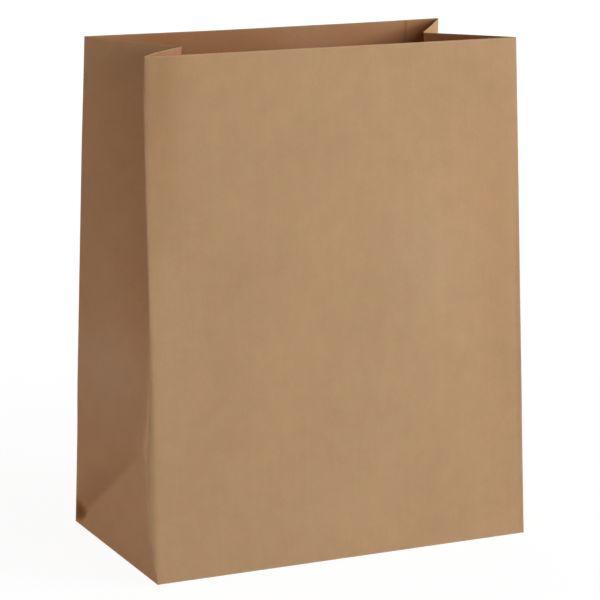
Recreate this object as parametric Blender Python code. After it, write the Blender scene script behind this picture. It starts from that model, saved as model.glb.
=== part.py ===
"""A brown kraft paper lunch bag, standing open: block base, two side gussets, straight cut mouth.

Metres, +Z up, front panel towards -Y. The origin is the centre of the base's underside.
The wall is one sheet, placed by its paper coordinates: how far round the bag, and how far up the paper.
"""
import math

import bmesh
import bpy
import numpy as np
from mathutils import Vector

# The sheet
WIDTH = 0.220              # front and rear panels, fold to fold
DEPTH = 0.112              # side gussets, fold to fold, and so the base's short side
HEIGHT = 0.272             # paper from the base's folds up to the cut mouth
PAPER = 0.00015            # one layer of paper

# How far the bag stands open: what each corner of the mouth leans in over the base
FRONT_LEAN_LEFT = 0.0219
FRONT_LEAN_RIGHT = 0.0249
REAR_LEAN_LEFT = 0.0096
REAR_LEAN_RIGHT = 0.0004
APEX_INSET_LEFT = 0.0155   # how far the left gusset's base triangle tips in at its apex
APEX_INSET_RIGHT = 0.0165

# Glued folds
FLAP_OVERLAP = 0.024       # the front base flap over the rear one
LAP_WIDTH = 0.022          # glue lap inside the rear panel, from the rear right fold
LAP_STEP = 0.0002          # width of the slope at the lap's cut edge
FOLD_INSET = 0.00015       # base flaps start this far inside the wall's folds
EAR_CLEARANCE = 0.0006     # inner ears of the base keep this far off the wall

# Mesh density
GUSSET_CELLS = 8           # cells across half a gusset, and up the base triangle
UPPER_ROWS = 9             # rows from the triangle's apex to the mouth
PANEL_CELLS = 10           # cells across a wide panel
LAP_CELLS = 2              # of those, how many cross the glue lap

KRAFT_COLOUR = (0.450, 0.290, 0.165, 1.0)
KRAFT_ROUGHNESS = 0.85

LEFT, RIGHT = -1, 1
FRONT, REAR = -1, 1

LEANS = {
    (LEFT, FRONT): FRONT_LEAN_LEFT,
    (RIGHT, FRONT): FRONT_LEAN_RIGHT,
    (LEFT, REAR): REAR_LEAN_LEFT,
    (RIGHT, REAR): REAR_LEAN_RIGHT,
}
APEX_INSETS = {LEFT: APEX_INSET_LEFT, RIGHT: APEX_INSET_RIGHT}

HALF_GUSSET = DEPTH / 2
WALL_FOOT = 2 * PAPER      # the wall stands on the two glued flaps of the base
FLOOR_TOP = WALL_FOOT + PAPER
FLAP_REACH = HALF_GUSSET + FLAP_OVERLAP / 2


def clear_scene():
    for old in list(bpy.data.objects):
        bpy.data.objects.remove(old, do_unlink=True)


def kraft_material():
    material = bpy.data.materials.new("kraft_paper")
    material.use_nodes = True
    shader = material.node_tree.nodes["Principled BSDF"]
    shader.inputs["Base Color"].default_value = KRAFT_COLOUR
    shader.inputs["Roughness"].default_value = KRAFT_ROUGHNESS
    shader.inputs["Metallic"].default_value = 0.0
    return material


def sphere_meeting(centres, radii, inward):
    """The point at the three radii from the three centres, on the side that inward points to."""
    first, second, third = centres
    along = (second - first).normalized()
    to_third = third - first
    across = (to_third - along * to_third.dot(along)).normalized()
    off_plane = along.cross(across)
    span = (second - first).length
    reach_along = to_third.dot(along)
    reach_across = to_third.dot(across)
    a = (radii[0] ** 2 - radii[1] ** 2 + span ** 2) / (2 * span)
    b = (radii[0] ** 2 - radii[2] ** 2 + reach_along ** 2 + reach_across ** 2
         - 2 * reach_along * a) / (2 * reach_across)
    c = math.sqrt(radii[0] ** 2 - a ** 2 - b ** 2)
    if off_plane.dot(inward) < 0:
        off_plane = -off_plane
    return first + along * a + across * b + off_plane * c


def fold_foot(side, face):
    return Vector((side * WIDTH / 2, face * DEPTH / 2, WALL_FOOT))


def fold_point(side, face, up):
    """A point of one of the four upright folds, this far up the paper."""
    lean = LEANS[(side, face)]
    rise = math.sqrt(HEIGHT ** 2 - lean ** 2)
    return fold_foot(side, face) + Vector((0, -face * lean, rise)) * (up / HEIGHT)


def gusset_apex(side):
    """Where the base triangle of a gusset ends and its middle crease starts."""
    inset = APEX_INSETS[side]
    rise = math.sqrt(HALF_GUSSET ** 2 - inset ** 2)
    return Vector((side * (WIDTH / 2 - inset), 0, WALL_FOOT + rise))


def crease_top(side):
    """The middle crease's end at the mouth: the paper keeps its lengths to both folds and to the apex."""
    centres = (fold_point(side, FRONT, HEIGHT), fold_point(side, REAR, HEIGHT), gusset_apex(side))
    radii = (HALF_GUSSET, HALF_GUSSET, HEIGHT - HALF_GUSSET)
    return sphere_meeting(centres, radii, Vector((-side, 0, 0)))


APEXES = {side: gusset_apex(side) for side in (LEFT, RIGHT)}
CREASE_TOPS = {side: crease_top(side) for side in (LEFT, RIGHT)}


def gusset_point(side, across, up):
    """A point of a side gusset, across from its front fold to its rear fold."""
    face = FRONT if across <= HALF_GUSSET else REAR
    from_fold = min(across, DEPTH - across)
    fold = fold_point(side, face, up)
    if up >= HALF_GUSSET:
        crease = APEXES[side].lerp(CREASE_TOPS[side], (up - HALF_GUSSET) / (HEIGHT - HALF_GUSSET))
        return fold.lerp(crease, from_fold / HALF_GUSSET)
    diagonal = fold_foot(side, face).lerp(APEXES[side], up / HALF_GUSSET)
    if from_fold < up:
        return fold.lerp(diagonal, from_fold / up)
    far_diagonal = fold_foot(side, -face).lerp(APEXES[side], up / HALF_GUSSET)
    return diagonal.lerp(far_diagonal, (from_fold - up) / (DEPTH - 2 * up))


def panel_point(face, across, up):
    """A point of the front or rear panel, across from its left fold to its right fold."""
    return fold_point(LEFT, face, up).lerp(fold_point(RIGHT, face, up), across / WIDTH)


def steps(start, end, count):
    """Evenly spaced values from start, without the end itself."""
    return [start + (end - start) * i / count for i in range(count)]


def sheet_columns():
    """The wall's columns, anticlockwise from the front left fold: a placing function and its layers."""
    columns = []
    for across in steps(0, WIDTH, PANEL_CELLS):
        columns.append((lambda up, a=across: panel_point(FRONT, a, up), 1))
    for across in steps(0, DEPTH, 2 * GUSSET_CELLS):
        columns.append((lambda up, a=across: gusset_point(RIGHT, a, up), 1))
    lap_edge = WIDTH - LAP_WIDTH
    lap = steps(WIDTH - LAP_STEP, lap_edge + LAP_STEP, LAP_CELLS) + [lap_edge + LAP_STEP]
    rear = [(WIDTH, 1)] + [(across, 2) for across in lap]
    rear += [(across, 1) for across in steps(lap_edge, 0, PANEL_CELLS - LAP_CELLS)]
    for across, layers in rear:
        columns.append((lambda up, a=across: panel_point(REAR, a, up), layers))
    for across in steps(DEPTH, 0, 2 * GUSSET_CELLS):
        columns.append((lambda up, a=across: gusset_point(LEFT, a, up), 1))
    return columns


def sheet_rows():
    return steps(0, HALF_GUSSET, GUSSET_CELLS) + steps(HALF_GUSSET, HEIGHT, UPPER_ROWS) + [HEIGHT]


def gusset_cell(column_index, first):
    """Which cell of the gusset that starts at column first this is, or None."""
    cell = column_index - first
    return cell if 0 <= cell < 2 * GUSSET_CELLS else None


def diagonal_split(row, cell):
    """How the 45 degree crease crosses a cell of the right gusset: rising, falling or not."""
    if cell == row:
        return "rising"
    if cell == 2 * GUSSET_CELLS - 1 - row:
        return "falling"
    return None


def add_cell(bm, corners, split):
    """One cell of the sheet, corners anticlockwise from its lower left one, cut by its crease."""
    if split == "rising":
        bm.faces.new((corners[0], corners[1], corners[2]))
        bm.faces.new((corners[0], corners[2], corners[3]))
    elif split == "falling":
        bm.faces.new((corners[0], corners[1], corners[3]))
        bm.faces.new((corners[1], corners[2], corners[3]))
    else:
        bm.faces.new(corners)


def add_wall(bm, grid, columns, right_gusset, left_gusset):
    count = len(columns)
    for row in range(len(grid) - 1):
        for column in range(count):
            beside = (column + 1) % count
            corners = (grid[row][column], grid[row][beside],
                       grid[row + 1][beside], grid[row + 1][column])
            split = None
            for first in (right_gusset, left_gusset):
                cell = gusset_cell(column, first)
                if cell is not None and row < GUSSET_CELLS:
                    split = diagonal_split(row, cell)
            add_cell(bm, corners, split)


def inner_point(vertex, layers, floor):
    """The point inside every face that meets at the vertex: one layer in from the floor."""
    normals = np.array([tuple(face.normal) for face in vertex.link_faces])
    depths = np.array([-PAPER if face is floor else -layers * PAPER for face in vertex.link_faces])
    shift = np.linalg.lstsq(normals, depths, rcond=0.1)[0]
    return vertex.co + Vector([float(value) for value in shift])


def wall_and_floor():
    """The sheet as a closed solid, open at the mouth, with a one layer floor."""
    columns = sheet_columns()
    rows = sheet_rows()
    right_gusset = PANEL_CELLS
    left_gusset = len(columns) - 2 * GUSSET_CELLS
    bm = bmesh.new()
    outer = [[bm.verts.new(place(up)) for place, layers in columns] for up in rows]
    add_wall(bm, outer, columns, right_gusset, left_gusset)
    floor = bm.faces.new(list(reversed(outer[0])))
    bm.normal_update()
    shell = list(bm.faces)

    twin = {}
    for ring in outer:
        for vertex, (place, layers) in zip(ring, columns):
            twin[vertex] = bm.verts.new(inner_point(vertex, layers, floor))
    for face in shell:
        bm.faces.new([twin[vertex] for vertex in reversed(face.verts)])

    rim = outer[-1]
    for column, vertex in enumerate(rim):
        beside = rim[(column + 1) % len(rim)]
        bm.faces.new((vertex, beside, twin[beside], twin[vertex]))
    bm.normal_update()
    mesh = bpy.data.meshes.new("paper_bag")
    bm.to_mesh(mesh)
    bm.free()
    return mesh


def layer_plate(name, outline, low, high):
    """A flat layer of the base, kept as a hidden shape that the bag is joined with."""
    bm = bmesh.new()
    bottom = [bm.verts.new((x, y, low)) for x, y in outline]
    top = [bm.verts.new((x, y, high)) for x, y in outline]
    bm.faces.new(list(reversed(bottom)))
    bm.faces.new(top)
    for i in range(len(outline)):
        beside = (i + 1) % len(outline)
        bm.faces.new((bottom[i], bottom[beside], top[beside], top[i]))
    mesh = bpy.data.meshes.new(name)
    bm.to_mesh(mesh)
    bm.free()
    plate = bpy.data.objects.new(name, mesh)
    bpy.context.collection.objects.link(plate)
    plate.hide_render = True
    plate.display_type = "WIRE"
    return plate


def flap_outline(face):
    """A long base flap: its fold along the wall, its ends folded back at 45 degrees, its cut edge."""
    fold_half = WIDTH / 2 - FOLD_INSET
    fold_line = face * (HALF_GUSSET - FOLD_INSET)
    cut_half = WIDTH / 2 - FLAP_REACH
    cut_line = face * (HALF_GUSSET - FLAP_REACH)
    outline = [(-fold_half, fold_line), (fold_half, fold_line), (cut_half, cut_line), (-cut_half, cut_line)]
    return outline if face == FRONT else outline[::-1]


def ear_outline(side):
    """An inner ear of the base: the gusset's paper, turned flat across the whole depth."""
    outer = side * (WIDTH / 2 - EAR_CLEARANCE)
    inner = side * (WIDTH / 2 - FLAP_REACH)
    half = HALF_GUSSET - EAR_CLEARANCE
    outline = [(outer, -half), (outer, half), (inner, half), (inner, -half)]
    return outline if side == RIGHT else outline[::-1]


def join_layer(bag, plate):
    joined = bag.modifiers.new(plate.name, "BOOLEAN")
    joined.operation = "UNION"
    joined.solver = "EXACT"
    joined.object = plate


def build_bag():
    bag = bpy.data.objects.new("paper_bag", wall_and_floor())
    bpy.context.collection.objects.link(bag)
    bag.data.materials.append(kraft_material())
    in_floor = WALL_FOOT + PAPER / 2
    front_flap = layer_plate("front_flap_layer", flap_outline(FRONT), 0.0, in_floor)
    rear_flap = layer_plate("rear_flap_layer", flap_outline(REAR), PAPER, in_floor)
    left_ear = layer_plate("left_ear_layer", ear_outline(LEFT), in_floor, FLOOR_TOP + PAPER)
    right_ear = layer_plate("right_ear_layer", ear_outline(RIGHT), in_floor, FLOOR_TOP + PAPER)
    for plate in (front_flap, rear_flap, left_ear, right_ear):
        join_layer(bag, plate)
    return bag


clear_scene()
build_bag()
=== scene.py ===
"""The looks of a brown kraft paper lunch bag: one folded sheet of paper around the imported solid.

The sheet is a grid in paper coordinates: how far round the bag from the front left fold, and how
far up from the base's folds. Below those folds the same grid turns in and becomes the base's flaps.
A side is -1 for left and 1 for right, and a face is -1 for front and 1 for rear.
"""
import math

import bpy
import numpy as np
from mathutils import Matrix, Vector


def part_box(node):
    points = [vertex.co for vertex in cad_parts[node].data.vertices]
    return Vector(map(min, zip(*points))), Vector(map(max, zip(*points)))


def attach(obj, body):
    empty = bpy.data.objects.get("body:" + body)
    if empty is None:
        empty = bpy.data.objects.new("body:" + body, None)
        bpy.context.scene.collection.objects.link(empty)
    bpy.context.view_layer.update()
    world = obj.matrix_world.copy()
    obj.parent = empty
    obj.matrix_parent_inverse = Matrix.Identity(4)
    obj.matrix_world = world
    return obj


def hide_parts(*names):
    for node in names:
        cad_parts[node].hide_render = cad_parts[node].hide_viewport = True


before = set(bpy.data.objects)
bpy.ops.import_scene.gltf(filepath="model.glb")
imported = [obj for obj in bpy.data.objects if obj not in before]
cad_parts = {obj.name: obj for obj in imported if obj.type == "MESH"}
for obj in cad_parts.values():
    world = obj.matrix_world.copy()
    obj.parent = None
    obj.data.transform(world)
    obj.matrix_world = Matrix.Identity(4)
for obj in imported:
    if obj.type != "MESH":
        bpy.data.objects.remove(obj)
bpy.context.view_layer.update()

MM = 0.001

# Sizes of the sheet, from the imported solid
NODE = "paper_bag"
low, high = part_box(NODE)
WIDTH = high.x - low.x
DEPTH = high.y - low.y
PAPER = 0.15 * MM
HEIGHT = high.z - low.z - 2 * PAPER
HALF_GUSSET = DEPTH / 2
GIRTH = 2 * (WIDTH + DEPTH)

# Where each section starts round the bag: front, right gusset, rear, left gusset
FOLDS = (0.0, WIDTH, WIDTH + DEPTH, 2 * WIDTH + DEPTH, GIRTH)
FRONT, RIGHT, REAR, LEFT = range(4)

# How the bag stands open: lean and pinch of the mouth's corners, insets of the base triangles
FRONT_LEAN = {-1: 21.9 * MM, 1: 24.9 * MM}
REAR_LEAN = {-1: 9.6 * MM, 1: 0.4 * MM}
MOUTH_PINCH = {-1: 0.6 * MM, 1: 0.4 * MM}
APEX_INSET = {-1: 16.9 * MM, 1: 17.0 * MM}

# Where five corners stand against the regular form: side, face, base (0) or mouth (1)
CORNER_SHIFTS = {
    (-1, 1, 0): (-0.7 * MM, 0.4 * MM, 1.3 * MM),
    (1, -1, 0): (0.1 * MM, -0.8 * MM, 0.0),
    (1, -1, 1): (-0.3 * MM, 0.2 * MM, 0.95 * MM),
    (-1, 1, 1): (0.15 * MM, 0.0, -0.4 * MM),
    (1, 1, 1): (0.4 * MM, -0.1 * MM, -0.3 * MM),
}

# Outward bow of each upright fold, where it starts and over what lengths it rises and fades
FOLD_BOW = {(-1, -1): 0.9 * MM, (-1, 1): 0.45 * MM, (1, -1): 0.15 * MM, (1, 1): 0.3 * MM}
FOLD_BOW_START = 48 * MM
FOLD_BOW_RISE = 35 * MM
FOLD_BOW_FADE = 70 * MM

# The front left fold's shoulder: level, how far out, how far back and how wide, in millimetres
FRONT_LEFT_SHOULDER = (
    (0, 0.0, 0.0, 2.0),
    (12, 1.8, 1.0, 2.5),
    (34, 4.1, 2.3, 5.3),
    (56, 3.8, 2.4, 5.4),
    (82, 1.4, 1.6, 3.4),
    (104, 0.5, 1.0, 2.4),
    (150, 0.1, 0.35, 1.5),
    (198, 0.3, 0.35, 1.5),
    (250, 0.8, 0.4, 1.4),
    (272, 0.2, 0.3, 1.6),
)

# Where the tops of the gussets' creases stand against the straight folded form
CREASE_SHIFT = {-1: (0.0, 0.0, 1.5 * MM), 1: (1.7 * MM, 0.0, 1.7 * MM)}

# Glued folds of the base and the rear panel: overlap, lap and its cut edges, one layer's rise
FLAP_OVERLAP = 24 * MM
FLAP_REACH = HALF_GUSSET + FLAP_OVERLAP / 2
LAP_WIDTH = 22 * MM
LAP_EDGES = (1.6 * MM, LAP_WIDTH)
LAP_STEP = 0.25 * MM
LAP_FADE = 9 * MM
LAP_RISE = 8 * MM
PLY = 0.17 * MM
PLY_RAMP = 3 * MM

# How the gussets' creases bow outwards above the base: amount, height, reach up
CREASE_BOW = {-1: 1.3 * MM, 1: 1.6 * MM}
CREASE_BOW_LEVEL = 125 * MM
CREASE_BOW_REACH = 38 * MM

# How sharply the paper turns at its folds, and at most at the gussets' creases
FOLD_SOFTNESS = 0.55 * MM
CREASE_SOFTNESS = 2.4 * MM

# Averaging that rounds the creases: its reach as a share of the way to the nearest fold, its
# samples, and how much less the outermost ones weigh
CREASE_SPREAD = 0.4
SAMPLES_ACROSS = 11
SAMPLES_ALONG = 5
SAMPLE_TAPER = 0.8

# How round the front left fold is rubbed at each level, in millimetres, and how far round that acts
FRONT_LEFT_SOFTNESS = ((0, 0.55), (12, 1.0), (34, 1.3), (104, 1.2), (198, 1.0), (272, 1.2))
FRONT_LEFT_REACH = 12 * MM

# Outward crown of the panels halfway up and at the mouth, and of the gussets' front and rear halves
PANEL_CROWN = {FRONT: (1.9 * MM, -0.3 * MM), REAR: (1.2 * MM, -2.7 * MM)}
PANEL_CROWN_RISE = 130 * MM
PANEL_CROWN_FADE = 90 * MM
GUSSET_CROWN = {RIGHT: (1.3 * MM, 0.2 * MM), LEFT: (1.0 * MM, 1.4 * MM)}
GUSSET_CROWN_START = 110 * MM
GUSSET_CROWN_RISE = 130 * MM

# Dents and bulges: round, up, reach round before and after, reach up, height outwards
BULGES = (
    (FOLDS[LEFT] + HALF_GUSSET - 1 * MM, 63 * MM, 5 * MM, 5 * MM, 8 * MM, 1.5 * MM),
    (FOLDS[LEFT] + 3.5 * MM, 7.5 * MM, 3.5 * MM, 5.5 * MM, 4.6 * MM, -2.2 * MM),
    (20 * MM, HEIGHT - 20 * MM, 14 * MM, 120 * MM, 52 * MM, 1.3 * MM),
    (200 * MM, 110 * MM, 20 * MM, 20 * MM, 95 * MM, -1.0 * MM),
    (FOLDS[RIGHT] + 8 * MM, 12 * MM, 7 * MM, 7 * MM, 8 * MM, -0.9 * MM),
    (FOLDS[RIGHT] + HALF_GUSSET + 1 * MM, 60 * MM, 5 * MM, 5 * MM, 9 * MM, 1.1 * MM),
    (FOLDS[REAR] + 95 * MM, 150 * MM, 55 * MM, 55 * MM, 70 * MM, -1.6 * MM),
)

# Soft lines: from round and up, to round and up, reach aside, height outwards at the start and end
LEFT_APEX = (FOLDS[LEFT] + HALF_GUSSET, HALF_GUSSET)
RIGHT_APEX = (FOLDS[RIGHT] + HALF_GUSSET, HALF_GUSSET)
LINES = (
    ((FOLDS[LEFT] + 4 * MM, 4 * MM), LEFT_APEX, 3.2 * MM, -1.3 * MM, -0.1 * MM),
    ((FOLDS[LEFT] + 7 * MM, 27 * MM), (FOLDS[LEFT] + 44 * MM, 62 * MM), 9 * MM, 1.5 * MM, 0.4 * MM),
    (LEFT_APEX, (FOLDS[LEFT] + 38 * MM, 18 * MM), 3.5 * MM, 0.25 * MM, 0.1 * MM),
    ((FOLDS[RIGHT] + 5 * MM, 5 * MM), RIGHT_APEX, 3 * MM, -0.8 * MM, -0.1 * MM),
)

# How near the base's folds and the upright folds the dents, bulges and soft lines fade out
DENT_FADE_UP = 4.5 * MM
DENT_FADE_ROUND = 3 * MM

# Painted light and shade: patches painted paler where the paper should look more lit, or darker
# below zero where it should look shaded: round, up, reach round, reach up, strength
PAINTED_PATCHES = (
    (FOLDS[LEFT] + 24 * MM, 95 * MM, 38 * MM, 27 * MM, 0.16),
    (FOLDS[LEFT] + 50 * MM, 128 * MM, 14 * MM, 30 * MM, -0.05),
    (FOLDS[LEFT] + 50 * MM, 246 * MM, 14 * MM, 36 * MM, 0.06),
    (35 * MM, 262 * MM, 38 * MM, 20 * MM, -0.035),
    (188 * MM, 195 * MM, 20 * MM, 36 * MM, -0.04),
    (130 * MM, 78 * MM, 40 * MM, 46 * MM, 0.03),
    (162 * MM, 160 * MM, 26 * MM, 38 * MM, 0.07),
    (5 * MM, 240 * MM, 14 * MM, 60 * MM, -0.12),
    # painted shade in the deep pocket of the fold at the left gusset's rear base corner
    (FOLDS[LEFT] + 2.5 * MM, 6 * MM, 4.5 * MM, 4.8 * MM, -0.40),
    (FOLDS[LEFT] + 8 * MM, 13 * MM, 12 * MM, 12 * MM, -0.06),
    (208 * MM, 150 * MM, 12 * MM, 90 * MM, -0.05),
    (FOLDS[REAR] - 24 * MM, HEIGHT - 8 * MM, 24 * MM, 24 * MM, -0.12),
    (14 * MM, 110 * MM, 16 * MM, 70 * MM, 0.035),
    (90 * MM, 20 * MM, 90 * MM, 30 * MM, 0.03),
)

# The same painted light and shade for the inner face: darker where shade falls deep in the mouth,
# most by the right gusset and the rear panel's right fold, paler where light gets in
INNER_PAINTED_PATCHES = (
    (GIRTH - 18 * MM, HEIGHT - 4 * MM, 18 * MM, 12 * MM, -0.06),
    (GIRTH - 44 * MM, HEIGHT - 6 * MM, 16 * MM, 14 * MM, 0.10),
    (FOLDS[RIGHT] + 30 * MM, HEIGHT - 4 * MM, 34 * MM, 20 * MM, -0.28),
    (FOLDS[REAR] + 6 * MM, HEIGHT - 12 * MM, 12 * MM, 25 * MM, -0.26),
    (FOLDS[REAR] + 36 * MM, HEIGHT - 8 * MM, 15 * MM, 30 * MM, 0.08),
    (FOLDS[REAR] + 84 * MM, HEIGHT - 8 * MM, 22 * MM, 30 * MM, 0.13),
    (FOLDS[REAR] + 175 * MM, HEIGHT - 8 * MM, 22 * MM, 30 * MM, -0.11),
    (FOLDS[REAR] + 130 * MM, HEIGHT - 8 * MM, 22 * MM, 30 * MM, -0.07),
)

# Uneven paper between the folds: height, longest and shortest wave, waves added, seed
SWELL = (0.5 * MM, 150 * MM, 60 * MM, 24, 11)
RIPPLE = (0.055 * MM, 34 * MM, 11 * MM, 60, 5)

# How near the upright folds and the base's folds the paper gets even
EVEN_ROUND = 22 * MM
EVEN_UP = 30 * MM

# How far wear and a painted highlight reach from a fold and from the rim, and how much stronger
# they are at the rim, where the cut edge's painted highlight is
FOLD_WEAR_AND_HIGHLIGHT_REACH = 0.8 * MM
RIM_WEAR_AND_HIGHLIGHT_REACH = 0.5 * MM
RIM_WEAR_AND_HIGHLIGHT = 1.3

# Lines of the grid: distances from a fold and from the rim and the step between further ones, all
# in millimetres, and how many lie on the outer part of a flap, across a panel and up the wall
NEAR_LINES = (0, 0.35, 0.75, 1.25, 1.9, 2.8, 4.0, 5.4)
RIM_LINES = (1.2, 0.5, 0.0)
FAR_STEP = 2.6
FLAP_LINES = 4
PANEL_LINES = 29
UPPER_LINES = 73

# Lengths and areas below these are zero, and points that round to the same step are one point
TINY = 1e-9
TINY_AREA = 1e-15
STEPS_PER_METRE = 1e7

# Metres of paper for each unit of the UV map, and how far up the map the inner face starts
UV_SPAN = 0.70
INNER_UV = 0.5


def smooth(t):
    t = np.clip(t, 0, 1)
    return t * t * (3 - 2 * t)


def lerp(a, b, t):
    t = np.asarray(t)[..., None]
    return a * (1 - t) + b * t


def by_level(table, up, column=1):
    """A smooth curve through one column of a table by level, both in millimetres."""
    levels, values = np.array(table)[:, [0, column]].T * MM
    place = np.clip(np.searchsorted(levels, up) - 1, 0, len(levels) - 2)
    share = (up - levels[place]) / (levels[place + 1] - levels[place])
    return values[place] + (values[place + 1] - values[place]) * smooth(share)


def fold_foot(side, face):
    return np.array([side * WIDTH / 2, face * DEPTH / 2, 0.0])


def fold_top(side, face):
    lean = (FRONT_LEAN if face < 0 else REAR_LEAN)[side]
    rise = math.sqrt(HEIGHT ** 2 - lean ** 2)
    return fold_foot(side, face) + np.array([-side * MOUTH_PINCH[face], -face * lean, rise])


def apex(side):
    inset = APEX_INSET[side]
    return np.array([side * (WIDTH / 2 - inset), 0.0, math.sqrt(HALF_GUSSET ** 2 - inset ** 2)])


def sphere_meeting(centres, radii, inward):
    """The point at the three radii from the three centres, on the side that inward points to."""
    first, second, third = centres
    span = np.linalg.norm(second - first)
    along = (second - first) / span
    to_third = third - first
    reach_along = to_third @ along
    across = to_third - along * reach_along
    reach_across = np.linalg.norm(across)
    across = across / reach_across
    a = (radii[0] ** 2 - radii[1] ** 2 + span ** 2) / (2 * span)
    b = radii[0] ** 2 - radii[2] ** 2 + reach_along ** 2 + reach_across ** 2 - 2 * reach_along * a
    b = b / (2 * reach_across)
    c = math.sqrt(radii[0] ** 2 - a ** 2 - b ** 2)
    off_plane = np.cross(along, across)
    if off_plane @ inward < 0:
        off_plane = -off_plane
    return first + along * a + across * b + off_plane * c


def crease_top(side):
    centres = (fold_top(side, -1), fold_top(side, 1), apex(side))
    radii = (HALF_GUSSET, HALF_GUSSET, HEIGHT - HALF_GUSSET)
    meeting = sphere_meeting(centres, radii, np.array([-side, 0.0, 0.0]))
    return meeting + np.array(CREASE_SHIFT[side])


def along_fold(side, face, up):
    straight = lerp(fold_foot(side, face), fold_top(side, face), up / HEIGHT)
    bow = FOLD_BOW[side, face] * smooth((up - FOLD_BOW_START) / FOLD_BOW_RISE)
    bow = bow * smooth((HEIGHT - up) / FOLD_BOW_FADE)
    moved = straight + bow[..., None] * np.array([side, 0.0, 0.0])
    if side < 0 and face < 0:
        moved[..., 0] -= by_level(FRONT_LEFT_SHOULDER, up, 1)
        moved[..., 1] += by_level(FRONT_LEFT_SHOULDER, up, 2)
    return moved


def panel(face, share, up):
    """Points of a wide panel, share 0 at its left fold and 1 at its right one."""
    wall = lerp(along_fold(-1, face, up), along_fold(1, face, up), share)
    if face < 0:
        shoulder_width = by_level(FRONT_LEFT_SHOULDER, up, 3)
        turned_in = np.clip(1 - share * WIDTH / shoulder_width, 0, 1) ** 2
        wall[..., 1] -= by_level(FRONT_LEFT_SHOULDER, up, 2) * (1 - share - turned_in)
    turned = -np.minimum(up, 0)
    ply = PLY * smooth(turned / PLY_RAMP) * (0 if face < 0 else 1)
    x = (share - 0.5) * WIDTH
    flap = np.stack([x, face * (DEPTH / 2 - turned), ply], -1)
    return np.where((up >= 0)[..., None], wall, flap)


def gusset(side, across, up):
    """Points of a gusset, across from its front fold to its rear one."""
    front_half = (across <= HALF_GUSSET)[..., None]
    from_fold = np.minimum(across, DEPTH - across)
    rise = np.clip(up, 0, None)
    fold = np.where(front_half, along_fold(side, -1, rise), along_fold(side, 1, rise))
    crease = lerp(apex(side), crease_top(side), (rise - HALF_GUSSET) / (HEIGHT - HALF_GUSSET))
    bow = CREASE_BOW[side] * np.exp(-((rise - CREASE_BOW_LEVEL) / CREASE_BOW_REACH) ** 2)
    crease = crease + bow[..., None] * np.array([side, 0.0, 0.0])
    upper = lerp(fold, crease, from_fold / HALF_GUSSET)
    share = np.clip(rise / HALF_GUSSET, 0, 1)
    front_diagonal = lerp(fold_foot(side, -1), apex(side), share)
    rear_diagonal = lerp(fold_foot(side, 1), apex(side), share)
    diagonal = np.where(front_half, front_diagonal, rear_diagonal)
    corner = lerp(fold, diagonal, from_fold / np.maximum(rise, TINY))
    span = np.maximum(DEPTH - 2 * rise, TINY)
    triangle = lerp(front_diagonal, rear_diagonal, np.clip((across - rise) / span, 0, 1))
    lower = np.where((from_fold < rise)[..., None], corner, triangle)
    wall = np.where((rise >= HALF_GUSSET)[..., None], upper, lower)
    turned = -np.minimum(up, 0)
    ply = 2 * PLY * smooth(turned / PLY_RAMP)
    ear = np.stack([side * (WIDTH / 2 - turned), across - DEPTH / 2, ply], -1)
    return np.where((up >= 0)[..., None], wall, ear)


def section_length(section):
    return DEPTH if section in (RIGHT, LEFT) else WIDTH


def section_points(section, place, up):
    if section == FRONT:
        return panel(-1, place / WIDTH, up)
    if section == RIGHT:
        return gusset(1, place, up)
    if section == REAR:
        return panel(1, 1 - place / WIDTH, up)
    return gusset(-1, DEPTH - place, up)


def section_at(round_):
    return np.searchsorted(FOLDS, np.mod(round_, GIRTH), side="right") - 1


def flat_sheet(round_, up, owner):
    """The folded sheet with sharp folds. Below the base's folds a point stays in its own flap."""
    wrapped = np.mod(round_, GIRTH)
    found = section_at(round_)
    section = np.where((owner >= 0) & (up < 0), owner, found)
    place = np.where(section == found, wrapped, round_) - np.array(FOLDS)[section]
    points = np.zeros(round_.shape + (3,))
    for index in (FRONT, RIGHT, REAR, LEFT):
        here = section == index
        on_section = np.clip(place[here], 0, section_length(index))
        points[here] = section_points(index, on_section, up[here])
    return points


def fold_distance(round_):
    """How far a point of the sheet is from the nearest upright fold."""
    wrapped = np.mod(round_, GIRTH)
    return np.min([np.abs(wrapped - fold) for fold in FOLDS], axis=0)


def fold_softness(round_, up):
    """Half the width over which a fold turns: the front left one is rubbed rounder."""
    from_front_left = np.mod(round_ + GIRTH / 2, GIRTH) - GIRTH / 2
    share = np.exp(-(from_front_left / FRONT_LEFT_REACH) ** 2)
    return FOLD_SOFTNESS + share * (by_level(FRONT_LEFT_SOFTNESS, up) - FOLD_SOFTNESS)


def soft_sheet(round_, up, owner):
    """The folded sheet with its folds and creases rounded, by averaging over a bit of paper."""
    nearest = np.minimum(fold_distance(round_), np.abs(up))
    reach = np.minimum(CREASE_SPREAD * nearest, CREASE_SOFTNESS)
    reach_across = np.maximum(reach, fold_softness(round_, up))
    reach_along = np.maximum(reach, FOLD_SOFTNESS)
    total = np.zeros(round_.shape + (3,))
    weight_sum = 0
    for across in np.linspace(-1, 1, SAMPLES_ACROSS):
        for along in np.linspace(-1, 1, SAMPLES_ALONG):
            weight = (1 - SAMPLE_TAPER * across ** 2) * (1 - SAMPLE_TAPER * along ** 2)
            sample = flat_sheet(round_ + across * reach_across, up + along * reach_along, owner)
            total += weight * sample
            weight_sum += weight
    return total / weight_sum


def shift_corners(points, up):
    """The sheet with its corners moved a little, and what lies between them following."""
    right = np.clip(points[:, 0] / WIDTH + 0.5, 0, 1)
    rear = np.clip(points[:, 1] / DEPTH + 0.5, 0, 1)
    above = np.clip(up / HEIGHT, 0, 1)
    moved = points.copy()
    for (side, face, level), shift in CORNER_SHIFTS.items():
        share = (right if side > 0 else 1 - right) * (rear if face > 0 else 1 - rear)
        share = share * (above if level else 1 - above)
        moved += share[:, None] * np.array(shift)
    return moved


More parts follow.
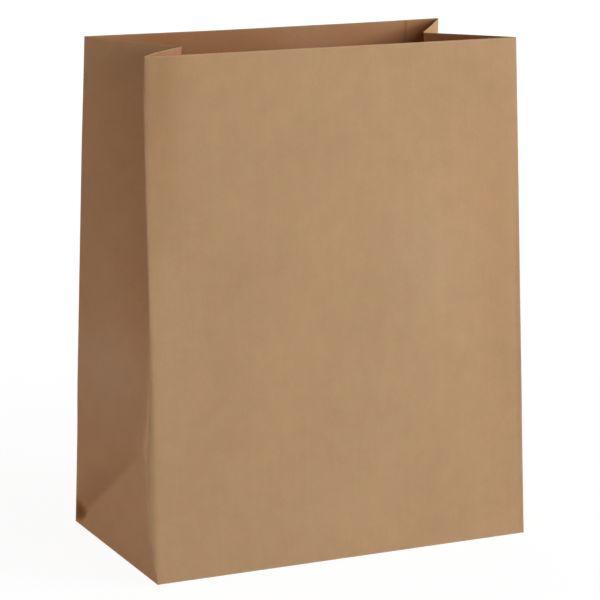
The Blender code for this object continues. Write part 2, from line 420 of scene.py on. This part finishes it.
def waves(round_, up, shape):
    """A smooth random field over the paper, made of waves between the two lengths."""
    height, longest, shortest, count, seed = shape
    rng = np.random.RandomState(seed)
    field = np.zeros(round_.shape)
    for _ in range(count):
        length = longest * (shortest / longest) ** rng.rand()
        turn = rng.rand() * math.pi
        phase = rng.rand() * 2 * math.pi
        pitch = 2 * math.pi / length
        field += np.cos(pitch * (round_ * math.cos(turn) + up * math.sin(turn)) + phase)
    return height / 2 * field * math.sqrt(2 / count)


def crown(round_, up):
    """The gentle outward curve of each panel and each half of a gusset, between its folds."""
    section = section_at(round_)
    place = np.mod(round_, GIRTH) - np.array(FOLDS)[section]
    height = np.zeros(round_.shape)
    rise = smooth(up / PANEL_CROWN_RISE)
    below_mouth = smooth((HEIGHT - up) / PANEL_CROWN_FADE)
    for index, (middle_amount, mouth_amount) in PANEL_CROWN.items():
        share = place / WIDTH
        amount = rise * (mouth_amount + (middle_amount - mouth_amount) * below_mouth)
        height = np.where(section == index, amount * 4 * share * (1 - share), height)
    free = smooth((up - GUSSET_CROWN_START) / GUSSET_CROWN_RISE)
    for index, (front_amount, rear_amount) in GUSSET_CROWN.items():
        share = np.minimum(place, DEPTH - place) / HALF_GUSSET
        starts_at_front = index == RIGHT
        front_half = (place < HALF_GUSSET) == starts_at_front
        amount = np.where(front_half, front_amount, rear_amount)
        height = np.where(section == index, amount * 4 * share * (1 - share) * free, height)
    return height


def line_relief(round_, up, start, end, reach, start_height, end_height):
    """A soft groove or ridge along a straight line of the paper, fading out past its ends."""
    along = np.array(end) - np.array(start)
    length = np.linalg.norm(along)
    along = along / length
    off_round = (np.mod(round_, GIRTH) - start[0] + GIRTH / 2) % GIRTH - GIRTH / 2
    off_up = up - start[1]
    share = (off_round * along[0] + off_up * along[1]) / length
    aside = off_up * along[0] - off_round * along[1]
    past = np.maximum(np.maximum(-share, share - 1), 0) * length
    height = start_height + (end_height - start_height) * np.clip(share, 0, 1)
    return height * np.exp(-(aside ** 2 + past ** 2) / reach ** 2)


def bulges(round_, up):
    """Single dents, bulges and soft lines of the paper."""
    wrapped = np.mod(round_, GIRTH)
    height = np.zeros(round_.shape)
    for line in LINES:
        height += line_relief(round_, up, *line)
    for centre, level, reach_before, reach_after, reach_up, amount in BULGES:
        off_round = (wrapped - centre + GIRTH / 2) % GIRTH - GIRTH / 2
        reach_round = np.where(off_round < 0, reach_before, reach_after)
        height += amount * np.exp(-(off_round / reach_round) ** 2 - ((up - level) / reach_up) ** 2)
    height = height * smooth(up / DENT_FADE_UP)
    return height * smooth(fold_distance(round_) / DENT_FADE_ROUND)


def painted_paleness(round_, up, patches):
    """How much paler, or darker below zero, one face of the paper is painted in its patches of
    painted light and shade.
    """
    wrapped = np.mod(round_, GIRTH)
    paler = np.zeros(round_.shape)
    for centre, level, reach_round, reach_up, strength in patches:
        off_round = (wrapped - centre + GIRTH / 2) % GIRTH - GIRTH / 2
        paler += strength * np.exp(-(off_round / reach_round) ** 2 - ((up - level) / reach_up) ** 2)
    return paler


def lap_relief(round_, up, outside):
    """How much the rear panel's outer or inner face stands outwards at the glue lap."""
    from_fold = np.mod(round_, GIRTH) - FOLDS[REAR]
    on_panel = (from_fold > 0) & (from_fold < WIDTH)
    lifted = smooth((from_fold - LAP_EDGES[0]) / LAP_STEP)
    lifted = lifted * (1 - smooth((from_fold - LAP_WIDTH) / LAP_FADE))
    if not outside:
        lifted = lifted * smooth((from_fold - LAP_EDGES[1]) / LAP_STEP)
    return np.where(on_panel, lifted * smooth(up / LAP_RISE), 0) * PAPER


def face_normals(points, rings):
    """Area weighted normals at the points of triangles and quads."""
    normals = np.zeros_like(points)
    for corners in (3, 4):
        chosen = np.array([ring for ring in rings if len(ring) == corners])
        a, b, c, d = (points[chosen[:, k % corners]] for k in range(4))
        normal = np.cross(c - a, d - b) if corners == 4 else np.cross(b - a, c - a)
        for k in range(corners):
            np.add.at(normals, chosen[:, k], normal)
    return normals / np.maximum(np.linalg.norm(normals, axis=1, keepdims=True), TINY_AREA)


def line_distances():
    """The grid lines' distances from a fold, and how many lie within half a gusset."""
    near = list(NEAR_LINES)
    half = HALF_GUSSET / MM
    reach = FLAP_REACH / MM
    count = round((half - near[-1]) / FAR_STEP)
    far = [near[-1] + (half - near[-1]) * (i + 1) / count for i in range(count)]
    last = [half + (reach - half) * (i + 1) / FLAP_LINES for i in range(FLAP_LINES)]
    return np.array(near + far + last) * MM, len(near) + count


DISTANCES, TO_HALF = line_distances()


def panel_lines(section):
    """Places of the grid's lines across a panel, with close ones at the lap's two cut edges."""
    middle = np.linspace(DISTANCES[-1], WIDTH - DISTANCES[-1], PANEL_LINES)[1:-1]
    places = np.concatenate([DISTANCES, middle, (WIDTH - DISTANCES)[::-1]])
    if section == FRONT:
        return places
    return np.union1d(places, [edge + off for edge in LAP_EDGES for off in (0.0, LAP_STEP)])


def gusset_lines():
    half = DISTANCES[:TO_HALF]
    return np.concatenate([half, (DEPTH - half)[::-1][1:]])


def up_lines():
    upper = np.linspace(HALF_GUSSET, HEIGHT, UPPER_LINES)[1:-1]
    rim = HEIGHT - np.array(RIM_LINES) * MM
    return np.concatenate([-DISTANCES[::-1], DISTANCES[1:TO_HALF], upper, rim])


class Sheet:
    """The grid's points, shared between cells, and its cells."""

    def __init__(self):
        self.index = {}
        self.round = []
        self.up = []
        self.owner = []
        self.cells = []
        self.border = {}

    def point(self, section, place, up):
        """The point at this place of a section. Walls that meet at a fold share its points."""
        round_ = FOLDS[section] + place
        owner = section if up < 0 else -1
        position = place if owner >= 0 else np.mod(round_ + TINY, GIRTH)
        key = (owner, round(position * STEPS_PER_METRE), round(up * STEPS_PER_METRE))
        if key not in self.index:
            self.index[key] = len(self.round)
            self.round.append(round_)
            self.up.append(up)
            self.owner.append(owner)
        return self.index[key]

    def cell(self, section, *corners):
        ring = [self.point(section, place, up) for place, up in corners]
        self.cells.append((section, ring, corners))
        for a, b in zip(ring, ring[1:] + ring[:1]):
            if (b, a) in self.border:
                del self.border[b, a]
            else:
                self.border[a, b] = True


def close_to(a, b):
    return abs(a - b) < TINY


def add_wall_cell(sheet, section, left, right, bottom, top):
    """One cell of the wall, cut in two where the 45 degree crease of a gusset crosses it."""
    length = section_length(section)
    a = (left, bottom)
    b = (right, bottom)
    c = (right, top)
    d = (left, top)
    is_gusset = section in (RIGHT, LEFT)
    if is_gusset and close_to(left, bottom) and close_to(right, top):
        sheet.cell(section, a, b, c)
        sheet.cell(section, a, c, d)
    elif is_gusset and close_to(length - right, bottom) and close_to(length - left, top):
        sheet.cell(section, a, b, d)
        sheet.cell(section, b, c, d)
    else:
        sheet.cell(section, a, b, c, d)


def add_base_cell(sheet, section, left, right, bottom, top):
    """One cell of the base: an ear is a whole rectangle, a flap is cut off at 45 degrees."""
    length = section_length(section)
    kept = [(left, bottom), (right, bottom), (right, top), (left, top)]
    if section in (FRONT, REAR):
        kept = [(place, up) for place, up in kept if min(place, length - place) + up > -TINY]
    if len(kept) > 2:
        sheet.cell(section, *kept)


def lay_out_sheet():
    sheet = Sheet()
    ups = up_lines()
    for section in (FRONT, RIGHT, REAR, LEFT):
        places = gusset_lines() if section in (RIGHT, LEFT) else panel_lines(section)
        for left, right in zip(places, places[1:]):
            for bottom, top in zip(ups, ups[1:]):
                add_cell = add_wall_cell if bottom > -TINY else add_base_cell
                add_cell(sheet, section, float(left), float(right), float(bottom), float(top))
    return sheet


def sheet_uv(sheet, round_, up):
    """Paper coordinates of every corner: outer face in the lower half, inner face in the upper."""
    uv = []
    for layer in (0, 1):
        for section, _, corners in sheet.cells:
            for place, level in (corners if layer == 0 else reversed(corners)):
                across = (FOLDS[section] + place) / UV_SPAN
                uv.append((across, (level + FLAP_REACH) / UV_SPAN + INNER_UV * layer))
    for a, b in sheet.border:
        for i in (b, a, a, b):
            uv.append((round_[i] / UV_SPAN, (up[i] + FLAP_REACH) / UV_SPAN))
    return np.array(uv)


def build_bag():
    sheet = lay_out_sheet()
    round_ = np.array(sheet.round)
    up = np.array(sheet.up)
    owner = np.array(sheet.owner)
    rings = [ring for _, ring, _ in sheet.cells]
    points = shift_corners(soft_sheet(round_, up, owner), up)
    stiff = smooth(fold_distance(round_) / EVEN_ROUND) * smooth(up / EVEN_UP)
    uneven = waves(round_, up, SWELL) + waves(round_, up, RIPPLE)
    relief = crown(round_, up) + bulges(round_, up) + stiff * uneven
    points = points + face_normals(points, rings) * relief[:, None]
    normals = face_normals(points, rings)
    outer = points + normals * lap_relief(round_, up, True)[:, None]
    inner = points - normals * (PAPER - lap_relief(round_, up, False))[:, None]

    count = len(points)
    faces = rings + [[i + count for i in reversed(ring)] for ring in rings]
    faces += [[b, a, a + count, b + count] for a, b in sheet.border]
    mesh = bpy.data.meshes.new("kraft_bag")
    mesh.from_pydata([tuple(v) for v in np.concatenate([outer, inner])], [], faces)
    mesh.uv_layers.new(name="paper").data.foreach_set("uv", sheet_uv(sheet, round_, up).ravel())

    # Wear along the folds and the rim, partly real wear and partly a painted highlight where the
    # edges catch light
    near_fold = np.minimum(fold_distance(round_), np.abs(up))
    at_rim = np.exp(-((HEIGHT - up) / RIM_WEAR_AND_HIGHLIGHT_REACH) ** 2)
    wear_and_highlight = np.exp(-(near_fold / FOLD_WEAR_AND_HIGHLIGHT_REACH) ** 2) + RIM_WEAR_AND_HIGHLIGHT * at_rim
    # Painted light and shade: how much paler or darker the patches paint each face
    paler = [painted_paleness(round_, up, patches) for patches in (PAINTED_PATCHES, INNER_PAINTED_PATCHES)]
    for name, values in (("wear_and_highlight", [wear_and_highlight, wear_and_highlight]), ("paler", paler)):
        attribute = mesh.attributes.new(name, "FLOAT", "POINT")
        attribute.data.foreach_set("value", np.concatenate(values))
    mesh.update()
    mesh.shade_smooth()
    bag = bpy.data.objects.new("kraft_bag", mesh)
    bpy.context.collection.objects.link(bag)
    return bag


def add_node(tree, kind, inputs=None, **settings):
    """Adds a node with its settings; an input is a value, or a socket to link from."""
    node = tree.nodes.new(kind)
    for name, value in settings.items():
        setattr(node, name, value)
    for name, value in (inputs or {}).items():
        if isinstance(value, bpy.types.NodeSocket):
            tree.links.new(value, node.inputs[name])
        else:
            node.inputs[name].default_value = value
    return node


# Kraft paper: its two tones, a warm glow painted on the inner face for light through the paper and
# bounced inside, its worn colour with a painted highlight and the ends of its hue mottle
KRAFT_DARK = (0.425, 0.267, 0.1365, 1)
KRAFT_LIGHT = (0.540, 0.340, 0.174, 1)
INSIDE_PAINTED_GLOW = (1.10, 0.895, 0.79, 1)
WORN_AND_HIGHLIGHT_COLOUR = (0.600, 0.420, 0.265, 1)
PINKER = (1.008, 0.978, 1.0, 1)
GREENER = (0.992, 1.022, 0.985, 1)

# How far each kind of unevenness moves the colour from one of its ends to the other
CLOUD_WEIGHT = 0.66
FORMATION_WEIGHT = 0.75
STREAK_WEIGHT = 0.18
FIBRE_WEIGHT = 0.16
SPECK_WEIGHT = -0.45
HUE_WEIGHT = 2.0

# Noise fields: features for each metre of paper, detail, roughness
CLOUD = (17, 2.0, 0.5)
FORMATION = (85, 4.0, 0.6)
HUE = (60, 4.0, 0.7)
TOOTH = (3200, 2.0, 0.5)

# Streaks and fibres: features for each metre round the bag and up it, the fibres' turns in
# degrees, and the noise values from no fibre to a full one
STREAK_SCALES = ((210, 7), (900, 22))
FIBRE_SCALES = (2600, 340)
FIBRE_TURNS = (-34, -13, 5, 22, 47)
FIBRE_RANGE = (0.60, 0.72)

# Flecks: cells for each metre, distances from full to none, and the draw above which a cell has one
SPECK_SCALE = 240
SPECK_RANGE = (0.03, 0.09)
SPECK_DRAW = 0.72

# How formation sets wear with its painted highlight, and roughness: its own lowest and highest
# value, and then theirs
WEAR_AND_HIGHLIGHT_RANGE = (-0.2, 0.15, 0.3, 1.0)
ROUGHNESS_RANGE = (-0.25, 0.25, 0.80, 0.92)
WEAR_AND_HIGHLIGHT_SHARE = 0.5

# Fine relief: its height, and what each kind of unevenness adds to it
RELIEF_HEIGHT = 0.035 * MM
FIBRE_RELIEF = 0.5
TOOTH_RELIEF = 0.7
STREAK_RELIEF = 0.6
FORMATION_RELIEF = 0.8
SPECULAR_LEVEL = 0.25


def math_node(tree, operation, *values):
    return add_node(tree, "ShaderNodeMath", dict(enumerate(values)), operation=operation).outputs[0]


def map_range(tree, value, from_low, from_high, to_low=0.0, to_high=1.0):
    inputs = {
        "Value": value,
        "From Min": from_low,
        "From Max": from_high,
        "To Min": to_low,
        "To Max": to_high,
    }
    return add_node(tree, "ShaderNodeMapRange", inputs).outputs["Result"]


def mix_colour(tree, blend, share, first, second):
    """Blends two colours. Sockets 6 and 7 take colours, and socket 2 gives the result."""
    node = add_node(tree, "ShaderNodeMix", data_type="RGBA", blend_type=blend, clamp_factor=True)
    for socket, value in ((0, share), (6, first), (7, second)):
        if isinstance(value, bpy.types.NodeSocket):
            tree.links.new(value, node.inputs[socket])
        else:
            node.inputs[socket].default_value = value
    return node.outputs[2]


def weighted_sum(tree, start, terms):
    total = start
    for value, weight in terms:
        total = math_node(tree, "MULTIPLY_ADD", value, weight, total)
    return total


def stretched(tree, place, round_scale, up_scale, turn=0.0):
    """Paper coordinates turned by some degrees, then scaled to features for each metre."""
    turned = {"Vector": place, "Rotation": (0, 0, math.radians(turn))}
    turned_place = add_node(tree, "ShaderNodeMapping", turned).outputs[0]
    scaled = {"Vector": turned_place, "Scale": (round_scale, up_scale, 1)}
    return add_node(tree, "ShaderNodeMapping", scaled).outputs[0]


def noise(tree, place, scale=1.0, detail=2.0, roughness=0.5):
    inputs = {"Vector": place, "Scale": scale, "Detail": detail, "Roughness": roughness}
    return add_node(tree, "ShaderNodeTexNoise", inputs).outputs["Fac"]


def centred(tree, value):
    return math_node(tree, "SUBTRACT", value, 0.5)


def fibres(tree, place):
    """Short thin fibres, mostly up the bag: where any of them shows the value is near 1."""
    total = 0.0
    for turn in FIBRE_TURNS:
        field = noise(tree, stretched(tree, place, *FIBRE_SCALES, turn), detail=1.0)
        total = math_node(tree, "ADD", map_range(tree, field, *FIBRE_RANGE), total)
    return total


def specks(tree, place):
    """Sparse dark flecks of bark, each much smaller than its cell."""
    cells = add_node(tree, "ShaderNodeTexVoronoi", {"Vector": place, "Scale": SPECK_SCALE})
    spot = map_range(tree, cells.outputs["Distance"], *SPECK_RANGE, 1.0, 0.0)
    pick = add_node(tree, "ShaderNodeSeparateColor", {"Color": cells.outputs["Color"]})
    chosen = math_node(tree, "GREATER_THAN", pick.outputs[0], SPECK_DRAW)
    return math_node(tree, "MULTIPLY", spot, chosen)


def kraft_material():
    material = bpy.data.materials.new("kraft_paper")
    material.use_nodes = True
    tree = material.node_tree
    uv = add_node(tree, "ShaderNodeUVMap", uv_map="paper").outputs[0]
    to_metres = {0: uv, "Scale": UV_SPAN}
    place = add_node(tree, "ShaderNodeVectorMath", to_metres, operation="SCALE").outputs[0]

    cloud = centred(tree, noise(tree, place, *CLOUD))
    formation = centred(tree, noise(tree, place, *FORMATION))
    streak_places = [stretched(tree, place, *scales) for scales in STREAK_SCALES]
    streaks = [centred(tree, noise(tree, streak_place)) for streak_place in streak_places]
    fibre = fibres(tree, place)
    tooth = centred(tree, noise(tree, place, *TOOTH))
    speck = specks(tree, place)
    # Wear with a painted highlight along the folds and the rim, broken up by the formation
    wear_and_highlight = add_node(tree, "ShaderNodeAttribute", attribute_name="wear_and_highlight").outputs["Fac"]
    rubbed = math_node(tree, "MULTIPLY", wear_and_highlight, map_range(tree, formation, *WEAR_AND_HIGHLIGHT_RANGE))

    tone = weighted_sum(tree, 0.5, [
        (cloud, CLOUD_WEIGHT),
        (formation, FORMATION_WEIGHT),
        (streaks[0], STREAK_WEIGHT),
        (streaks[1], STREAK_WEIGHT),
        (fibre, FIBRE_WEIGHT),
        (speck, SPECK_WEIGHT),
    ])
    colour = mix_colour(tree, "MIX", tone, KRAFT_DARK, KRAFT_LIGHT)
    hue = weighted_sum(tree, 0.5, [(centred(tree, noise(tree, place, *HUE)), HUE_WEIGHT)])
    hue_tint = mix_colour(tree, "MIX", hue, PINKER, GREENER)
    colour = mix_colour(tree, "MULTIPLY", 1.0, colour, hue_tint)
    # Painted light and shade: the paler attribute turns the gamma, so the patches come out paler or
    # darker
    paler = add_node(tree, "ShaderNodeAttribute", attribute_name="paler").outputs["Fac"]
    painted_gamma = math_node(tree, "SUBTRACT", 1.0, paler)
    colour = add_node(tree, "ShaderNodeGamma", {"Color": colour, "Gamma": painted_gamma}).outputs[0]
    # Painted light: the inner face is tinted warm for the glow of light through the paper and
    # between its faces
    uv_height = add_node(tree, "ShaderNodeSeparateXYZ", {0: uv}).outputs[1]
    inside = math_node(tree, "GREATER_THAN", uv_height, INNER_UV)
    colour = mix_colour(tree, "MULTIPLY", inside, colour, INSIDE_PAINTED_GLOW)
    # Wear and painted highlight: the folds and the rim are mixed towards a paler colour
    wear_and_highlight_share = math_node(tree, "MULTIPLY", rubbed, WEAR_AND_HIGHLIGHT_SHARE)
    colour = mix_colour(tree, "MIX", wear_and_highlight_share, colour, WORN_AND_HIGHLIGHT_COLOUR)

    surface_height = weighted_sum(tree, 0.0, [
        (fibre, FIBRE_RELIEF),
        (tooth, TOOTH_RELIEF),
        (streaks[1], STREAK_RELIEF),
        (formation, FORMATION_RELIEF),
    ])
    bump = add_node(tree, "ShaderNodeBump", {"Height": surface_height, "Distance": RELIEF_HEIGHT})

    roughness = map_range(tree, formation, *ROUGHNESS_RANGE)
    shader = tree.nodes["Principled BSDF"]
    shader.inputs["Specular IOR Level"].default_value = SPECULAR_LEVEL
    tree.links.new(colour, shader.inputs["Base Color"])
    tree.links.new(roughness, shader.inputs["Roughness"])
    tree.links.new(bump.outputs[0], shader.inputs["Normal"])
    return material


# Lamps: name, azimuth, elevation, power, colour
COOL = (1.0, 1.02, 1.07)
WARM = (1.0, 0.80, 0.775)
LAMPS = (
    ("key", 20, 5, 13.9, COOL),
    ("side", 60, 30, 17.1, COOL),
    ("left", -100, 10, 5.35, WARM),
    ("left_rear", -140, 10, 5.6, WARM),
    ("rear", 165, 20, 6.0, WARM),
)
LAMP_DISTANCE = 1.8
LAMP_SIZE = 1.0

# Faint light from all round
WORLD_COLOUR = (*WARM, 1)
WORLD_LEVEL = 0.15

# The floor, a little below the bag, so that the two don't share a plane
FLOOR_COLOUR = (0.90, 0.90, 0.90, 1)
FLOOR_HALF = 6.0
FLOOR_LEVEL = -0.2 * MM

# White seen over the floor: its strength, its share near the bag, where the shadow shows, and how
# far from the bag that share begins to grow and is full
FLOOR_WHITE = 1.06
NEAR_VEIL = 0.88
VEIL_REACH = (0.25, 1.1)


def seen_white(tree, lit, veil, strength=1.0):
    """Mixes white over a shader, as far as veil says, for camera, glossy and transmission rays."""
    path = add_node(tree, "ShaderNodeLightPath")
    seen = path.outputs["Is Camera Ray"]
    for other in ("Is Glossy Ray", "Is Transmission Ray"):
        seen = math_node(tree, "MAXIMUM", seen, path.outputs[other])
    share = math_node(tree, "MULTIPLY", seen, veil)
    white = add_node(tree, "ShaderNodeEmission", {"Strength": strength}).outputs[0]
    return add_node(tree, "ShaderNodeMixShader", {0: share, 1: lit, 2: white}).outputs[0]


def make_floor():
    half = FLOOR_HALF
    corners = [(-half, -half, 0), (half, -half, 0), (half, half, 0), (-half, half, 0)]
    mesh = bpy.data.meshes.new("floor")
    mesh.from_pydata(corners, [], [(0, 1, 2, 3)])
    floor = bpy.data.objects.new("floor", mesh)
    floor.location.z = FLOOR_LEVEL
    bpy.context.collection.objects.link(floor)
    material = bpy.data.materials.new("floor_white")
    material.use_nodes = True
    tree = material.node_tree
    tree.nodes.clear()
    diffuse = add_node(tree, "ShaderNodeBsdfDiffuse", {"Color": FLOOR_COLOUR})
    place = add_node(tree, "ShaderNodeNewGeometry").outputs["Position"]
    away = add_node(tree, "ShaderNodeVectorMath", {0: place}, operation="LENGTH").outputs["Value"]
    veil = map_range(tree, away, *VEIL_REACH, NEAR_VEIL, 1.0)
    surface = seen_white(tree, diffuse.outputs[0], veil, FLOOR_WHITE)
    add_node(tree, "ShaderNodeOutputMaterial", {"Surface": surface})
    mesh.materials.append(material)


def make_world():
    world = bpy.data.worlds.new("studio")
    bpy.context.scene.world = world
    world.use_nodes = True
    tree = world.node_tree
    tree.nodes.clear()
    fill = add_node(tree, "ShaderNodeBackground", {"Color": WORLD_COLOUR, "Strength": WORLD_LEVEL})
    surface = seen_white(tree, fill.outputs[0], 1.0)
    add_node(tree, "ShaderNodeOutputWorld", {"Surface": surface})


def away_from_bag(azimuth, elevation):
    """The way out from the bag, in degrees: azimuth 0 is in front of it and 90 at its right."""
    turn = math.radians(azimuth)
    rise = math.radians(elevation)
    level_reach = math.cos(rise)
    return Vector((math.sin(turn) * level_reach, -math.cos(turn) * level_reach, math.sin(rise)))


def make_lamp(name, azimuth, elevation, power, colour):
    """A square soft box that faces the middle of the bag."""
    back = away_from_bag(azimuth, elevation)
    data = bpy.data.lights.new(name, "AREA")
    data.size = LAMP_SIZE
    data.energy = power
    data.color = colour
    lamp = bpy.data.objects.new(name, data)
    bpy.context.collection.objects.link(lamp)
    lamp.location = Vector((0, 0, HEIGHT / 2)) + back * LAMP_DISTANCE
    lamp.rotation_mode = "QUATERNION"
    lamp.rotation_quaternion = back.to_track_quat("Z", "Y")


# The photo's camera: turns in degrees, lens and sensor in millimetres, place in metres
CAMERA_AZIMUTH = -26.759
CAMERA_ELEVATION = 13.078
CAMERA_ROLL = 1.064
CAMERA_LENS = 156.01
CAMERA_SENSOR = 36
CAMERA_PLACE = (-0.6198, -1.2241, 0.4480)
CAMERA_CLIP = (0.05, 20)


def make_camera():
    back = away_from_bag(CAMERA_AZIMUTH, CAMERA_ELEVATION)
    roll = math.radians(CAMERA_ROLL)
    level = Vector((0, 0, 1)).cross(back).normalized()
    upright = back.cross(level)
    right = level * math.cos(roll) + upright * math.sin(roll)
    up = upright * math.cos(roll) - level * math.sin(roll)
    data = bpy.data.cameras.new("camera")
    data.sensor_width = CAMERA_SENSOR
    data.lens = CAMERA_LENS
    data.clip_start, data.clip_end = CAMERA_CLIP
    camera = bpy.data.objects.new("camera", data)
    bpy.context.collection.objects.link(camera)
    matrix = Matrix((right, up, back)).transposed().to_4x4()
    matrix.translation = CAMERA_PLACE
    camera.matrix_world = matrix
    bpy.context.scene.camera = camera


bag = build_bag()
bag.data.materials.append(kraft_material())
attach(bag, "root")
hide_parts(NODE)
make_floor()
make_world()
for lamp_values in LAMPS:
    make_lamp(*lamp_values)
make_camera()
bpy.context.scene.view_settings.view_transform = "Standard"
